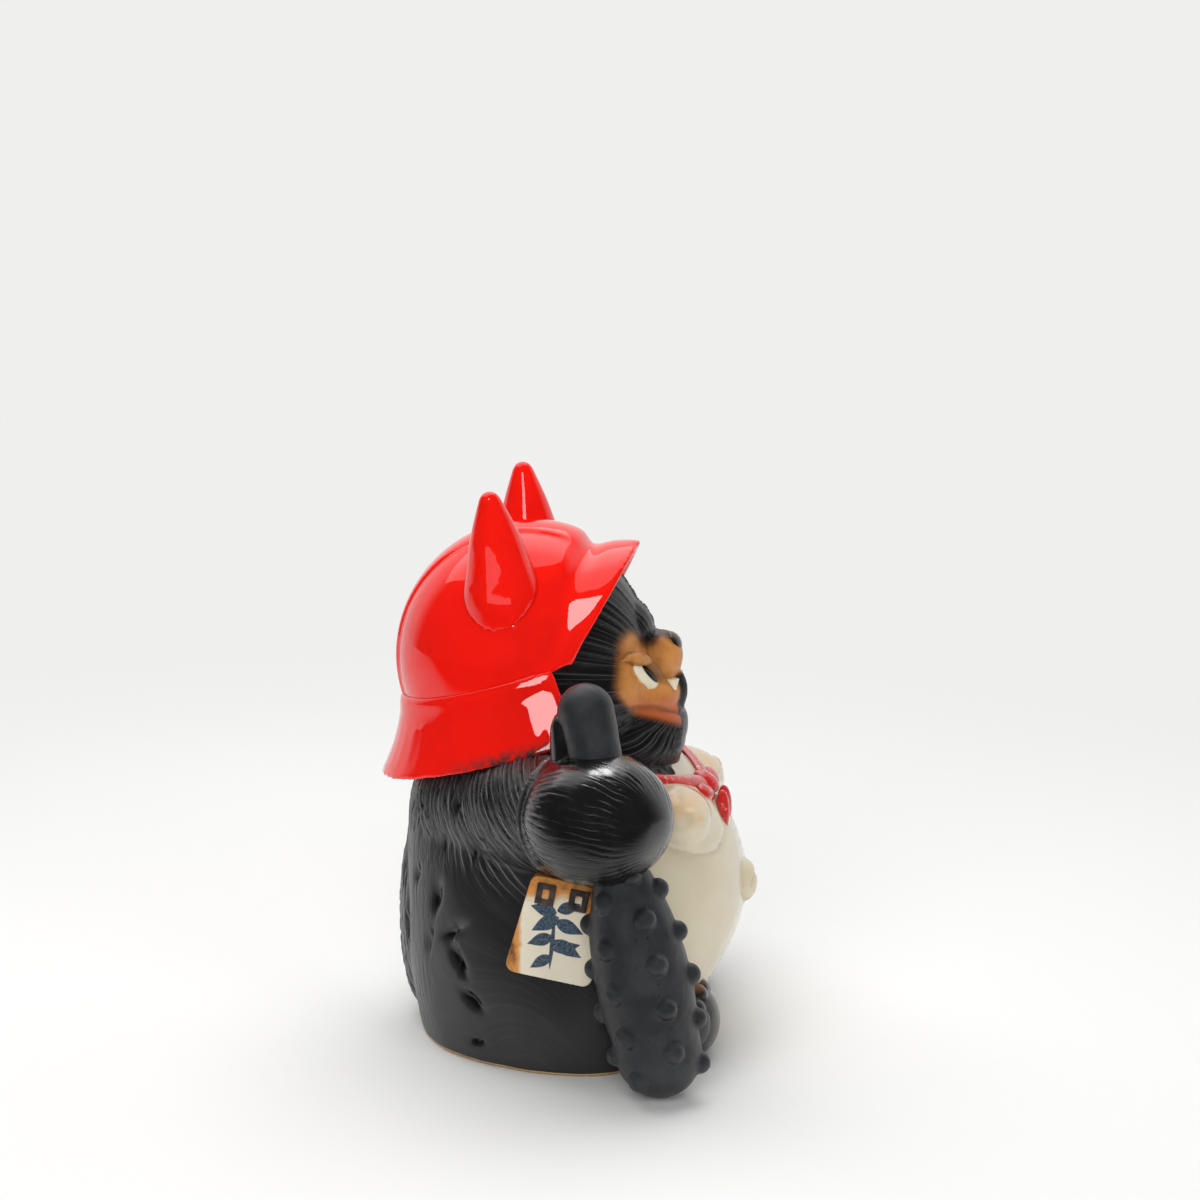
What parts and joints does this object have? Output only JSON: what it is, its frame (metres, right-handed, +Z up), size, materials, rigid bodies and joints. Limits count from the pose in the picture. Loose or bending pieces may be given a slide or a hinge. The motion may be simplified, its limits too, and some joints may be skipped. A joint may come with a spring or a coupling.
{
  "type": "tanuki statue",
  "caption": "Seated tanuki figure of glazed clay in a horned war helmet, gripping a studded club, with a relief account book on its flank.",
  "frame": {"origin": "middle of the open foot ring, on the plane the figure stands on, in its mid-plane", "axes": "+Z up, -Y the way the figure faces, -X the side of its right hand"},
  "size_m": [0.279, 0.1979, 0.2882],
  "materials": {
    "black_glaze": "charcoal satin glaze over carved fur",
    "cream_glaze": "cream gloss glaze",
    "page_glaze": "cream glaze scorched brown at the edges, indigo brush leaves",
    "tie_glaze": "dark brown satin glaze",
    "red_glaze": "high gloss red glaze",
    "iron_glaze": "matt iron-grey glaze",
    "face_glaze": "sprayed orange-brown glaze fading to black",
    "nose_glaze": "black gloss glaze",
    "eye_glaze": "cream gloss glaze with a painted black pupil",
    "ivory_glaze": "ivory gloss glaze",
    "cord_glaze": "red brushed over cream glaze",
    "flask_glaze": "brown gloss glaze"
  },
  "bodies": {
    "root": {"torso_shell": "black_glaze", "tail": "black_glaze", "right_leg": "black_glaze", "left_leg": "black_glaze", "right_foot": "black_glaze", "left_foot": "black_glaze", "right_arm": "black_glaze", "left_arm": "black_glaze", "right_fist": "black_glaze", "left_fist": "black_glaze", "head_shell": "black_glaze", "belly_panel": "cream_glaze", "right_breast": "cream_glaze", "left_breast": "cream_glaze", "nipples": "cream_glaze", "navel_ring": "cream_glaze", "account_book": "page_glaze", "book_ties": "tie_glaze", "helmet_bowl": "red_glaze", "crest_band": "red_glaze", "visor": "red_glaze", "neck_guard": "red_glaze", "right_horn": "red_glaze", "left_horn": "red_glaze", "club": "iron_glaze", "club_studs": "iron_glaze", "muzzle": "face_glaze", "snout": "face_glaze", "right_brow": "face_glaze", "left_brow": "face_glaze", "nose_pad": "nose_glaze", "right_eye": "eye_glaze", "left_eye": "eye_glaze", "right_fang": "ivory_glaze", "left_fang": "ivory_glaze", "chin_cord": "cord_glaze", "cord_knot": "cord_glaze", "bow_loops": "cord_glaze", "cord_tails": "cord_glaze", "sake_flask": "flask_glaze"}
  },
  "joints": []
}
